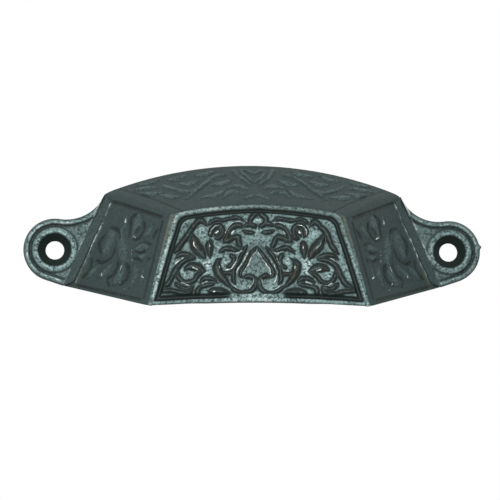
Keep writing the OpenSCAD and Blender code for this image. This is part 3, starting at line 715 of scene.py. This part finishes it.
# %% Marks of the panels
MARKS = ("figure", "flank", "gleam", "tone", "sink", "rust")
STEEP, SIDE_FLANK, ROOF_FLANK = 0.2, 0.6, 0.8


def faces_out(grid):
    """The way that each place of a grid faces: across times up, brought to length 1."""
    return unit(np.cross(np.gradient(grid, axis=1), np.gradient(grid, axis=0)))


def steepness(skin, smooth):
    """How far a carved grid's slope turns from the smooth form's: 0 where both agree, 1 on a flank."""
    apart = 1 - (faces_out(skin) * faces_out(smooth)).sum(-1)
    return np.clip(apart / STEEP, 0, 1)


def marks(figure, flank, gleam, tone=0.0, sink=0.0, rust=0.0):
    """The marks of a grid side by side, each spread over the whole grid."""
    return np.stack([np.broadcast_to(m, flank.shape) for m in (figure, flank, gleam, tone, sink, rust)], -1)


# Steep slopes of the carving get the flank mark, which the material turns into painted shade.
front_flank = steepness(front_skin, settle(front_grid))
side_flank = SIDE_FLANK * steepness(side_skin, settle(side_grid))
roof_flank = ROOF_FLANK * steepness(roof_skin, settle(roof_grid))
front_marks = marks(front_figure, front_flank, front_gleam, front_tone, front_sunk_dark, front_rust)
side_marks = marks(side_figure, side_flank, side_gleam, side_tone, 0.0, side_rust)
roof_marks = marks(roof_figure, roof_flank, 0.0, roof_tone)
print("mean of the front's marks:", front_marks.mean((0, 1)).round(2))

# %% [markdown]
# ## One skin for the hood
# The grids become faces by vertex numbers. The borders take each other's numbers, so the skin is
# closed there by itself.

# %% Vertex numbers and faces
class Skin:
    """Vertices with their marks and faces, gathered grid by grid."""

    def __init__(self):
        self.points, self.marks, self.faces, self.count = [], [], [], 0

    def add(self, points, point_marks=None):
        """Add a grid of points and give back the grid of their vertex numbers."""
        shape = points.shape[:-1]
        values = np.zeros(shape + (len(MARKS),)) if point_marks is None else point_marks
        self.points.append(points.reshape(-1, 3))
        self.marks.append(values.reshape(-1, len(MARKS)))
        ids = self.count + np.arange(np.prod(shape)).reshape(shape)
        self.count += ids.size
        return ids

    def fill(self, ids, flip=False):
        """Add the four-cornered faces between the rows and columns of a grid of vertex numbers."""
        ids = ids[:, ::-1] if flip else ids
        corners = [ids[:-1, :-1], ids[:-1, 1:], ids[1:, 1:], ids[1:, :-1]]
        self.faces += np.stack(corners, -1).reshape(-1, 4).tolist()

    def hood(self, front, side, roof, front_marks=None, side_marks=None, roof_marks=None, inward=False):
        """Add a hood of three grids and the mirrored side, and give back its free edge as a loop."""
        front_ids, roof_ids = self.add(front, front_marks), self.add(roof, roof_marks)
        right, left = self.add(side, side_marks), self.add(side * MIRROR, side_marks)
        right[:, 0], left[:, 0], roof_ids[0] = front_ids[:, -1], front_ids[:, 0], front_ids[-1]
        roof_ids[:, -1], roof_ids[:, 0] = right[-1], left[-1]
        for ids, mirrored in [(front_ids, False), (right, False), (left, True), (roof_ids, False)]:
            self.fill(ids, mirrored != inward)
        return free_edge(front_ids, right, left, roof_ids)


def free_edge(front, right, left, roof):
    """The hood's free edge as a closed loop: under the left side, the lip and the right side, up the
    right back edge, along the crown and down the left back edge."""
    runs = [left[0, ::-1], front[0], right[0], right[:, -1], roof[-1, ::-1], left[::-1, -1]]
    return np.concatenate([run[:-1] for run in runs])


# %% [markdown]
# Behind the carved skin comes a plain inner one, set in by the wall, and three rows of points round
# the rim turn the edge over. The inner skin is four times coarser, since nobody looks behind a pull,
# and a lacing of triangles joins it to the fine rim.

# %% Skin of the hood
RIM_SHARES = np.array([0.04, 0.12, 0.3])[:, None, None]
COARSE = 4
skin = Skin()
inner_grids = Hood(WALL).grids()
edge_ids = skin.hood(front_skin, side_skin, roof_skin, front_marks, side_marks, roof_marks)
inner_ids = skin.hood(*[grid[::COARSE, ::COARSE] for grid in inner_grids], inward=True)
outer_edge = free_edge(front_grid, side_grid, side_grid * MIRROR, roof_grid)
inner_edge = free_edge(inner_grids[0], inner_grids[1], inner_grids[1] * MIRROR, inner_grids[2])
rim = np.vstack([edge_ids, skin.add(settle(mix(outer_edge, inner_edge, RIM_SHARES)))])
skin.fill(np.hstack([rim, rim[:, :1]]), flip=True)
fine = rim[-1].reshape(-1, COARSE)
fine = np.column_stack([fine, np.roll(fine[:, 0], -1)])
this, after = inner_ids, np.roll(inner_ids, -1)
lacing = [
    (fine[:, 0], this, fine[:, 1]), (fine[:, 1], this, fine[:, 2]), (fine[:, 2], this, after),
    (fine[:, 2], after, fine[:, 3]), (fine[:, 3], after, fine[:, 4]),
]
skin.faces += np.concatenate([np.stack(three, -1) for three in lacing]).tolist()
print("hood:", len(skin.faces), "faces, free edge of", len(edge_ids), "points")

# %% [markdown]
# ## The screw ears
# Each ear is a plate with a round end, a hollow shoulder that sweeps up to the hood and a straight
# foot. Its outline is three stretches, each an arc or a line, and a fourth, the tongue, that hides
# in the hood's wall.

# %% Outline of an ear
EAR_R, EAR_T, HOLLOW_R, HOLE_R, SINK_R, RING_R = 7.1, 2.2, 9.5, 2.1, 4.0, 5.3
EAR_TOP = np.array([SHOULDER_HALF - HOLE_X - 0.15, SHOULDER[2] - 0.6])
EAR_LOW = np.array([BASE_HALF - HOLE_X, -BASE_DROP])
TONGUE = np.array([1.5, 1.5])
END_STEPS, HOLLOW_STEPS, TONGUE_STEPS, FOOT_STEPS = 112, 56, 30, 22


def turned(angle):
    """Unit vector at an angle from the ear's long axis."""
    return np.stack([np.cos(angle), np.sin(angle)], -1)


def angle_of(v):
    """Angle of a vector."""
    return np.arctan2(v[1], v[0])


reach, top_away = EAR_R + HOLLOW_R, np.linalg.norm(EAR_TOP)
along = (reach ** 2 + top_away ** 2 - HOLLOW_R ** 2) / (2 * top_away)
up = EAR_TOP / top_away
hollow = along * up + np.sqrt(reach ** 2 - along ** 2) * np.array([up[1], -up[0]])
foot = angle_of(EAR_LOW) + np.arccos(EAR_R / np.linalg.norm(EAR_LOW))
touch = angle_of(hollow)
tongue = np.array([EAR_TOP, EAR_TOP - TONGUE, EAR_LOW - [WALL, -WALL / 3], EAR_LOW])
tongue_at = np.r_[0, np.cumsum(np.linalg.norm(np.diff(tongue, axis=0), axis=1))]
tongue_run = np.linspace(0, tongue_at[-1], TONGUE_STEPS, endpoint=False)
round_end = EAR_R * turned(np.linspace(foot, touch, END_STEPS, endpoint=False))
sweep = np.linspace(touch - np.pi, angle_of(EAR_TOP - hollow), HOLLOW_STEPS, endpoint=False)
shoulder_arc = hollow + HOLLOW_R * turned(sweep)
tongue_line = np.stack([np.interp(tongue_run, tongue_at, tongue[:, i]) for i in (0, 1)], -1)
foot_line = mix(EAR_LOW, EAR_R * turned(foot), np.linspace(0, 1, FOOT_STEPS, endpoint=False)[:, None])
outline = np.vstack([round_end, shoulder_arc, tongue_line, foot_line])
print("ear outline:", len(outline), "points, hollow centre", hollow.round(2))

# %% [markdown]
# Rows of points run from the ring about the screw hole out to the outline. The outer rows follow the
# outline at set distances, so the rim and its groove keep an even width all the way round.

# %% Rows of an ear
RING_ROWS, MIDDLE_ROWS, ZONE = 8, 14, 1.7
TONGUE_BEARINGS = np.radians([186, 235])
ZONE_SHARES = [0.9, 0.8, 0.72, 0.64, 0.56, 0.48, 0.4, 0.3, 0.2, 0.12, 0.06, 0.02, 0.0]


def away_from(q, line):
    """Distance of every point of a grid from a polyline."""
    start, step = line[:-1], np.diff(line, axis=0)
    q = q[..., None, :]
    share = np.clip(((q - start) * step).sum(-1) / (step * step).sum(-1), 0, 1)
    return np.linalg.norm(q - start - share[..., None] * step, axis=-1).min(-1)


def ear_rows():
    """Plan of the ear's face as rows from the ring outwards to the outline, and the bearing of each
    point of a ring. A row of the outer zone is a share of the zone's width, which narrows where the
    ear runs into the hood."""
    after = np.roll(outline, -1, 0) - np.roll(outline, 1, 0)
    inward = unit(np.stack([-after[:, 1], after[:, 0]], -1))
    zone = np.minimum(ZONE, 0.45 * away_from(outline, tongue) + 0.05)[:, None]
    turns = [foot, touch, *TONGUE_BEARINGS, foot + 2 * np.pi]
    counts = [END_STEPS, HOLLOW_STEPS, TONGUE_STEPS, FOOT_STEPS]
    bearing = np.concatenate([
        np.linspace(first, last, count, endpoint=False)
        for first, last, count in zip(turns[:-1], turns[1:], counts)
    ])
    ring = [radius * turned(bearing) for radius in np.linspace(SINK_R, RING_R, RING_ROWS)]
    edge_of_zone = outline + inward * zone
    middle = [mix(ring[-1], edge_of_zone, t) for t in np.linspace(0, 1, MIDDLE_ROWS + 1)[1:]]
    return ring + middle + [outline + inward * zone * share for share in ZONE_SHARES], bearing


face_rows, bearing = ear_rows()
face_plan = np.array(face_rows)
print("ear face:", face_plan.shape[:2], "rows and points")

# %% [markdown]
# Over its plan the face is a raised rim with a rounded edge, a groove inside it, a sunk field and a raised
# ring about the hole. Beside the hood a dark band stands up from the field, where the metal of the real one
# is thick, and the line along its outer side has a painted highlight.

# %% Relief of an ear
FIELD_SUNK, FOOT_BAND, EDGE_ROUND, RIM_GROOVE = 0.7, 1.3, 0.4, (1.45, 0.35, 0.2)
RIM_WIDTH, RIM_FALL, RING_EDGE, RING_FALL, BURR_EDGE, BURR_FALL = 0.95, 0.55, 5.6, 0.7, 4.2, 0.3
BAND_RISE, BAND_SLOPE, BAND_STEP, BURR_DROP = 0.4, 0.3, 0.3, 0.05

edge_away = away_from(face_plan, np.vstack([foot_line[1:], round_end, shoulder_arc, EAR_TOP]))
hole_away = np.linalg.norm(face_plan, axis=-1)
rounding = EDGE_ROUND - np.sqrt(EDGE_ROUND ** 2 - (EDGE_ROUND - np.minimum(edge_away, EDGE_ROUND)) ** 2)
field = FIELD_SUNK * ease((edge_away - RIM_WIDTH) / RIM_FALL) + ridge(edge_away, *RIM_GROOVE)
ring_rise = FIELD_SUNK * ease((RING_EDGE - hole_away) / RING_FALL)
face_y = rounding + field - ring_rise - EAR_T + BURR_DROP * ease((BURR_EDGE - hole_away) / BURR_FALL)
field_y = FIELD_SUNK - EAR_T
plate = np.stack([face_plan[..., 0] + HOLE_X, 0 * edge_away + field_y, face_plan[..., 1]], -1)
foot_away = (plate - BASE) @ SIDE_OUT / np.hypot(SIDE_OUT[0], SIDE_OUT[2])
band = ease((FOOT_BAND - foot_away) / BAND_STEP)
face_y = mix(face_y, field_y - BAND_RISE - BAND_SLOPE * (FOOT_BAND - foot_away), band)
print("ear face from y", face_y.min().round(2), "to", face_y.max().round(2), "mm")

# %% [markdown]
# The rows become points in space, from the back edge of the hole up the countersink, over the face, down the
# flank and home across the flat back. The ear's marks go with them: a dark countersink, darker lines in the
# groove and at the edge of the ring, painted shade on the rounded outer edge, and painted highlights on the
# rim and along the foot of the hood.

# %% Points and marks of an ear
FLANK_SHARES, WALL_INSET, BACK_TONE, FACE_TONE, BAND_TONE = (0.6, 0.3), 0.05, 0.55, 0.42, 0.03
GROOVE_DARK, RING_DARK, RIM_GLINT = (1.45, 0.38, 1.0), (5.2, 0.3, 0.6), (0.8, 0.7, 0.99)
RING_PALE, BURR_PALE, RIM_HIGHLIGHT = (4.5, 0.8, 1.0), (4.2, 0.3, 1.0), (0.85, 0.4, 1.0)


def level_row(plan, y):
    """A row of points over a plan at one y or at a y for each."""
    return np.stack([plan[:, 0] + HOLE_X, np.broadcast_to(y, len(plan)), plan[:, 1]], -1)


last_ring, first_zone = RING_ROWS - 1, RING_ROWS - 1 + MIDDLE_ROWS
cone = np.linspace(HOLE_R, SINK_R, 7)[:-1]
in_wall = away_from(outline, tongue) < 0.01
ear = [level_row(HOLE_R * turned(bearing), 0.0)]
ear += [level_row(radius * turned(bearing), SINK_R - radius - EAR_T) for radius in cone]
ear += [level_row(plan, y) for plan, y in zip(face_rows, face_y)]
ear += [level_row(outline, share * face_y[-1]) for share in FLANK_SHARES]
ear += [level_row(plan, -WALL_INSET * in_wall) for plan in (outline, face_rows[first_zone])]
ear += [level_row(face_rows[row], 0.0) for row in (last_ring + MIDDLE_ROWS // 2, last_ring)]
ear_points = np.array(ear)
face_first = 1 + len(cone)
ear_marks = np.zeros(ear_points.shape[:2] + (len(MARKS),))
ear_marks[..., MARKS.index("tone")] = BACK_TONE
ear_marks[:face_first, :, MARKS.index("sink")] = 1
face_marks = ear_marks[face_first:face_first + len(face_rows)]
# Darker lines in the groove and at the ring's edge, and painted shade on the rounded outer edge.
groove_dark, ring_dark = ridge(edge_away, *GROOVE_DARK), ridge(hole_away, *RING_DARK)
edge_shade = 0.8 * ease((0.45 - edge_away) / 0.4)
face_marks[..., MARKS.index("figure")] = np.clip(groove_dark + edge_shade + ring_dark, 0, 1) * (1 - band)
# Painted highlights along the foot of the hood and on the rim.
foot_gleam = 0.98 * np.clip(1.2 * ridge(foot_away, FOOT_BAND, 0.6, 1.0), 0, 1)
rim_gleam = ridge(edge_away, *RIM_GLINT) * (1 - band)
face_marks[..., MARKS.index("gleam")] = 0.94 * np.maximum(foot_gleam, rim_gleam)
ring_tone = 0.2 * ridge(hole_away, *RING_PALE) + 0.5 * ridge(hole_away, *BURR_PALE)
# The rim's crest is made paler as a painted highlight.
rim_highlight_tone = 0.3 * ridge(edge_away, *RIM_HIGHLIGHT)
face_marks[..., MARKS.index("tone")] = mix(FACE_TONE + ring_tone + rim_highlight_tone, BAND_TONE, band)
print("rows of an ear from the hole round to its back:", len(ear_points))

# %% [markdown]
# The two ears are mirror images, apart from a small nib that the mould left on the tip of the right
# one, which is also a little darker.

# %% Both ears
NIB_AT, NIB_WIDE, NIB_OUT = np.radians(9), np.radians(3.5), 0.45
NIB_FROM, NIB_OVER, NIB_WAY = 6.0, 1.1, [1, 0, 0.1]
RIGHT_DARKER = 0.2 * np.array([name == "tone" for name in MARKS])

for side in (1, -1):
    plan = ear_points[..., [0, 2]] - [HOLE_X, 0]
    off_tip = (angle_of(np.moveaxis(plan, -1, 0)) - NIB_AT) / NIB_WIDE
    near_edge = ease((np.linalg.norm(plan, axis=-1) - NIB_FROM) / NIB_OVER)
    nib = (side > 0) * NIB_OUT * np.exp(-off_tip ** 2) * near_edge
    points = (ear_points + nib[..., None] * NIB_WAY) * [side, 1, 1]
    ids = skin.add(points, ear_marks * (1 - (side > 0) * RIGHT_DARKER))
    ids = np.vstack([ids, ids[:1]])
    skin.fill(np.hstack([ids, ids[:, :1]]), flip=side > 0)
print("with ears:", len(skin.faces), "faces")

# %% [markdown]
# ## The casting as one object
# All of it goes into one mesh, in metres, at the origin. Vertices that no face uses, such as a
# border that took its neighbour's numbers, are left out. The marks become float attributes on the
# vertices, where the material can read them.

# %% Casting object
points, values = np.vstack(skin.points), np.vstack(skin.marks)
used = np.unique(np.concatenate([np.array(face) for face in skin.faces]))
number = np.zeros(len(points), int)
number[used] = np.arange(len(used))
points[:, 1] = np.minimum(points[:, 1], 0)
mesh = bpy.data.meshes.new("pull_skin")
mesh.from_pydata((points[used] * MM).tolist(), [], [number[face].tolist() for face in skin.faces])
mesh.polygons.foreach_set("use_smooth", [True] * len(mesh.polygons))
for i, name in enumerate(MARKS):
    mesh.attributes.new(name, "FLOAT", "POINT").data.foreach_set("value", values[used, i].astype(np.float32))
pull = bpy.data.objects.new("carved_pull", mesh)
bpy.context.collection.objects.link(pull)
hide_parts("pull_casting")
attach(pull, "root")
print("casting:", len(mesh.vertices), "vertices")
print("triangles:", sum(len(face.vertices) - 2 for face in mesh.polygons))

# %% [markdown]
# ## A material written as formulas
# The finish is arithmetic on masks, so a small class lets a socket stand in a formula. Each operator
# adds one Math node, and every other node comes from one method. The same could be wired by hand in
# the node editor, but a formula is easier to read and to change.

# %% Sockets in formulas
class Value:
    """A socket of a node tree that can stand in a formula with numbers and other sockets."""

    def __init__(self, nodes, socket):
        self.nodes, self.socket = nodes, socket

    def maths(self, operation, first, second, limit=False):
        """The result of one Math node."""
        settings = {"operation": operation, "use_clamp": limit}
        return self.nodes.add("Math", settings, {0: first, 1: second})

    def __add__(self, other):
        return self.maths("ADD", self, other)

    def __sub__(self, other):
        return self.maths("SUBTRACT", self, other)

    def __rsub__(self, other):
        return self.maths("SUBTRACT", other, self)

    def __mul__(self, other):
        return self.maths("MULTIPLY", self, other)

    def limited(self):
        """The same value kept between 0 and 1."""
        return self.maths("ADD", self, 0.0, limit=True)

    __radd__, __rmul__ = __add__, __mul__


class Nodes:
    """The emptied node tree of a material or a world."""

    def __init__(self, owner):
        owner.use_nodes = True
        self.tree = owner.node_tree
        self.tree.nodes.clear()

    def add(self, kind, settings=None, inputs=None, output=0):
        """A new node: its settings come first, then the values or links of its inputs."""
        node = self.tree.nodes.new("ShaderNode" + kind)
        for name, value in (settings or {}).items():
            setattr(node, name, value)
        for name, value in (inputs or {}).items():
            if isinstance(value, Value):
                self.tree.links.new(value.socket, node.inputs[name])
            else:
                node.inputs[name].default_value = value
        return Value(self, node.outputs[output]) if len(node.outputs) else None

    def colours(self, factor, first, second):
        """A colour that a factor takes from the first to the second. A plain colour is three numbers."""
        plain = [colour if isinstance(colour, Value) else (*colour, 1) for colour in (first, second)]
        return self.add("Mix", {"data_type": "RGBA"}, {0: factor, 6: plain[0], 7: plain[1]}, 2)


# %% [markdown]
# ## Old cast iron
# The iron has a blue-green patina that is pale and blotchy on the ground of the front, where hands do not
# reach. The sides and the roof are dark, partly from patina and partly from painted shade, as they turn away
# from the light. The flanks of the carving are darkened with painted shade, and the countersinks are dark. A
# few thin lines carry painted highlights in a bare grey metal colour, and the hips have an olive tarnish. A
# fine grain from the moulding sand breaks up all of it, in colour and in height.

# %% Patterns and marks of the iron
GRAIN_SCALE, BLOTCH_SCALE, SAND_SCALE = 2300, 330, 2500
cast_iron = bpy.data.materials.new("old_cast_iron")
iron = Nodes(cast_iron)
place = iron.add("TexCoord", output="Object")
fine_noise = {"Vector": place, "Scale": GRAIN_SCALE, "Detail": 2.0, "Roughness": 0.6}
broad_noise = {"Vector": place, "Scale": BLOTCH_SCALE, "Detail": 3.0, "Roughness": 0.55}
grain = iron.add("TexNoise", None, fine_noise)
blotch = iron.add("TexNoise", None, broad_noise)
cells = iron.add("TexVoronoi", None, {"Vector": place, "Scale": SAND_SCALE}, "Color")
sand = iron.add("SeparateColor", None, {"Color": cells})
marks_read = [iron.add("Attribute", {"attribute_name": name}, output="Fac") for name in MARKS]
figure, flank, gleam, tone, sink, rust = marks_read
speck = (sand * 0.85 + (grain - 0.5) * 1.6 + 0.09).limited()
bloom = ((blotch - 0.5) * 3.0 + 0.5).limited()
print("nodes so far:", len(iron.tree.nodes))

# %% [markdown]
# Every colour below is mixed from two by one formula. Open ground goes from dark to pale with the tone, the
# bloom and the specks of sand, and beyond that to bare metal. Carved metal is dark slate with pale specks on
# its crests, partly wear and partly a painted highlight, and brown blotches. Tarnish, painted shade on the
# flanks, painted highlights on the bright lines and the darkening of the sunk places come over both, in that
# order.

# %% Colours of the iron
GROUND, DARK_GROUND = (0.34, 0.5, 0.49), (0.04, 0.062, 0.06)
FIGURE, BROWN, SHADE = (0.036, 0.056, 0.052), (0.035, 0.026, 0.018), (0.011, 0.019, 0.017)
# The bare-metal colour serves the palest ground and also the painted highlights.
BARE_METAL_AND_HIGHLIGHT, WORN_AND_LIT, OLIVE = (0.75, 0.83, 0.81), (0.11, 0.15, 0.14), (0.1, 0.1, 0.075)
GLEAM_FROM, GLEAM_SHARPNESS = 0.885, 18

figure = (figure * 1.6 - 0.2 + (speck - 0.5) * 0.9).limited()
open_ground = tone * (1 - figure)
pale = tone * (0.46 + bloom * 0.3) + (open_ground * 1.25 + 0.07) * (speck - 0.5)
ground = iron.colours(pale.limited(), DARK_GROUND, GROUND)
ground = iron.colours(((pale - 0.85) * 1.3).limited(), ground, BARE_METAL_AND_HIGHLIGHT)
# Carved metal turns paler with the tone; on the crests that is partly wear and partly a painted highlight.
dark = iron.colours((tone * (speck * 0.9 + 0.1)).limited(), iron.colours(speck, SHADE, FIGURE), WORN_AND_LIT)
dark = iron.colours((bloom * 1.6 - 1.0).limited(), dark, BROWN)
colour = iron.colours(figure, ground, dark)
colour = iron.colours((rust * (0.5 + bloom * 0.5)).limited(), colour, OLIVE)
# Painted shade on the steep flanks of the carving.
colour = iron.colours((flank * (0.85 - tone.limited() * 0.35)).limited(), colour, SHADE)
# Painted highlights: the gleam lines turn to the bare-metal colour and partly metallic.
shine = ((gleam - GLEAM_FROM - (1 - bloom) * 0.05) * GLEAM_SHARPNESS).limited() * (speck * 0.8 + 0.2)
colour = iron.colours(shine, colour, BARE_METAL_AND_HIGHLIGHT)
# The grooves and the countersinks are darkened through the sink mark.
colour = iron.colours(sink, colour, SHADE)
print("nodes so far:", len(iron.tree.nodes))

# %% [markdown]
# The same masks set how the surface takes light. Carved metal is smoother and open ground rougher,
# the grain stands up most on open ground, and only the bright lines shine as metal.

# %% Surface of the iron
GRIT_HEIGHT, GRIT_STRENGTH, SPECULAR = 0.00006, 0.7, 0.12
rough = 0.55 - figure * 0.22 + open_ground * 0.1
grit = grain * (0.3 + open_ground * 0.7)
bump = iron.add("Bump", None, {"Strength": GRIT_STRENGTH, "Distance": GRIT_HEIGHT, "Height": grit})
surface = iron.add("BsdfPrincipled", None, {
    "Base Color": colour,
    "Roughness": rough,
    "Metallic": shine * 0.5,
    "Normal": bump,
    "Specular IOR Level": SPECULAR,
})
iron.add("OutputMaterial", None, {"Surface": surface})
mesh.materials.append(cast_iron)
print("material nodes:", len(iron.tree.nodes))

# %% [markdown]
# ## Floor, light and camera
# The pull was photographed on white under broad light from near the camera, so the front shows every
# stroke and nothing casts a hard shadow. The world is white where the camera sees it and a plain
# grey where it lights. The pull hangs free as on a drawer, and the pale floor lies well below it.

# %% Floor and light
FLOOR_HALF, FLOOR_Z, GREY_LIGHT = 0.6, -0.11, 0.4
floor_mesh = bpy.data.meshes.new("pale_floor")
corners = [(x * FLOOR_HALF, y * FLOOR_HALF, FLOOR_Z) for x, y in [(-1, -1), (1, -1), (1, 1), (-1, 1)]]
floor_mesh.from_pydata(corners, [], [[0, 1, 2, 3]])
floor = bpy.data.objects.new("pale_floor", floor_mesh)
bpy.context.collection.objects.link(floor)
floor_paint = bpy.data.materials.new("pale_floor")
paint = Nodes(floor_paint)
paint.add("OutputMaterial", None, {"Surface": paint.add("BsdfDiffuse", None, {"Color": (0.8, 0.8, 0.8, 1)})})
floor_mesh.materials.append(floor_paint)

world = bpy.data.worlds.new("studio")
bpy.context.scene.world = world
air = Nodes(world)
rays = ("Is Camera Ray", "Is Glossy Ray", "Is Transmission Ray")
seen = [air.add("LightPath", output=name) for name in rays]
grey = air.add("Background", None, {"Color": (1, 1, 1, 1), "Strength": GREY_LIGHT})
white = air.add("Background", None, {"Color": (1, 1, 1, 1), "Strength": 1.0})
shown = air.add("MixShader", None, {0: (seen[0] + seen[1] + seen[2]).limited(), 1: grey, 2: white})
air.add("OutputWorld", None, {"Surface": shown})


def soft_light(name, place, size, power):
    """A square lamp that faces the pull."""
    data = bpy.data.lights.new(name, "AREA")
    data.size, data.energy = size, power
    lamp = bpy.data.objects.new(name, data)
    lamp.location = place
    lamp.rotation_euler = (-Vector(place)).to_track_quat("-Z", "Y").to_euler()
    bpy.context.collection.objects.link(lamp)


soft_light("front_lamp", (-0.12, -0.62, 0.16), 0.3, 2.5)
print("floor at z =", FLOOR_Z, "m, one soft lamp near the camera")

# %% [markdown]
# The camera stands a little to the left of the pull and a little below it, and looks slightly up
# with a long lens. Its place was found by matching the hole centres and the corners of the hood.

# %% Camera
CAMERA_AT = Vector((-30.0, -454.2, -51.5)) * MM
ROLL, LENS, SENSOR = np.radians(-0.1), 143.57, 36
back = unit(np.array([-0.0641, -0.9915, -0.1132]))
level = unit(np.cross([0, 0, 1], back))
upright = np.cross(back, level)
right_way = np.cos(ROLL) * level + np.sin(ROLL) * upright
up_way = np.cross(back, right_way)
camera = bpy.data.objects.new("camera", bpy.data.cameras.new("camera"))
camera.data.lens, camera.data.sensor_width = LENS, SENSOR
turn = Matrix(np.stack([right_way, up_way, back], -1).tolist()).to_4x4()
camera.matrix_world = Matrix.Translation(CAMERA_AT) @ turn
bpy.context.collection.objects.link(camera)
bpy.context.scene.camera = camera
bpy.context.scene.view_settings.view_transform = "Standard"
print("camera at", [round(1000 * v) for v in CAMERA_AT], "mm")
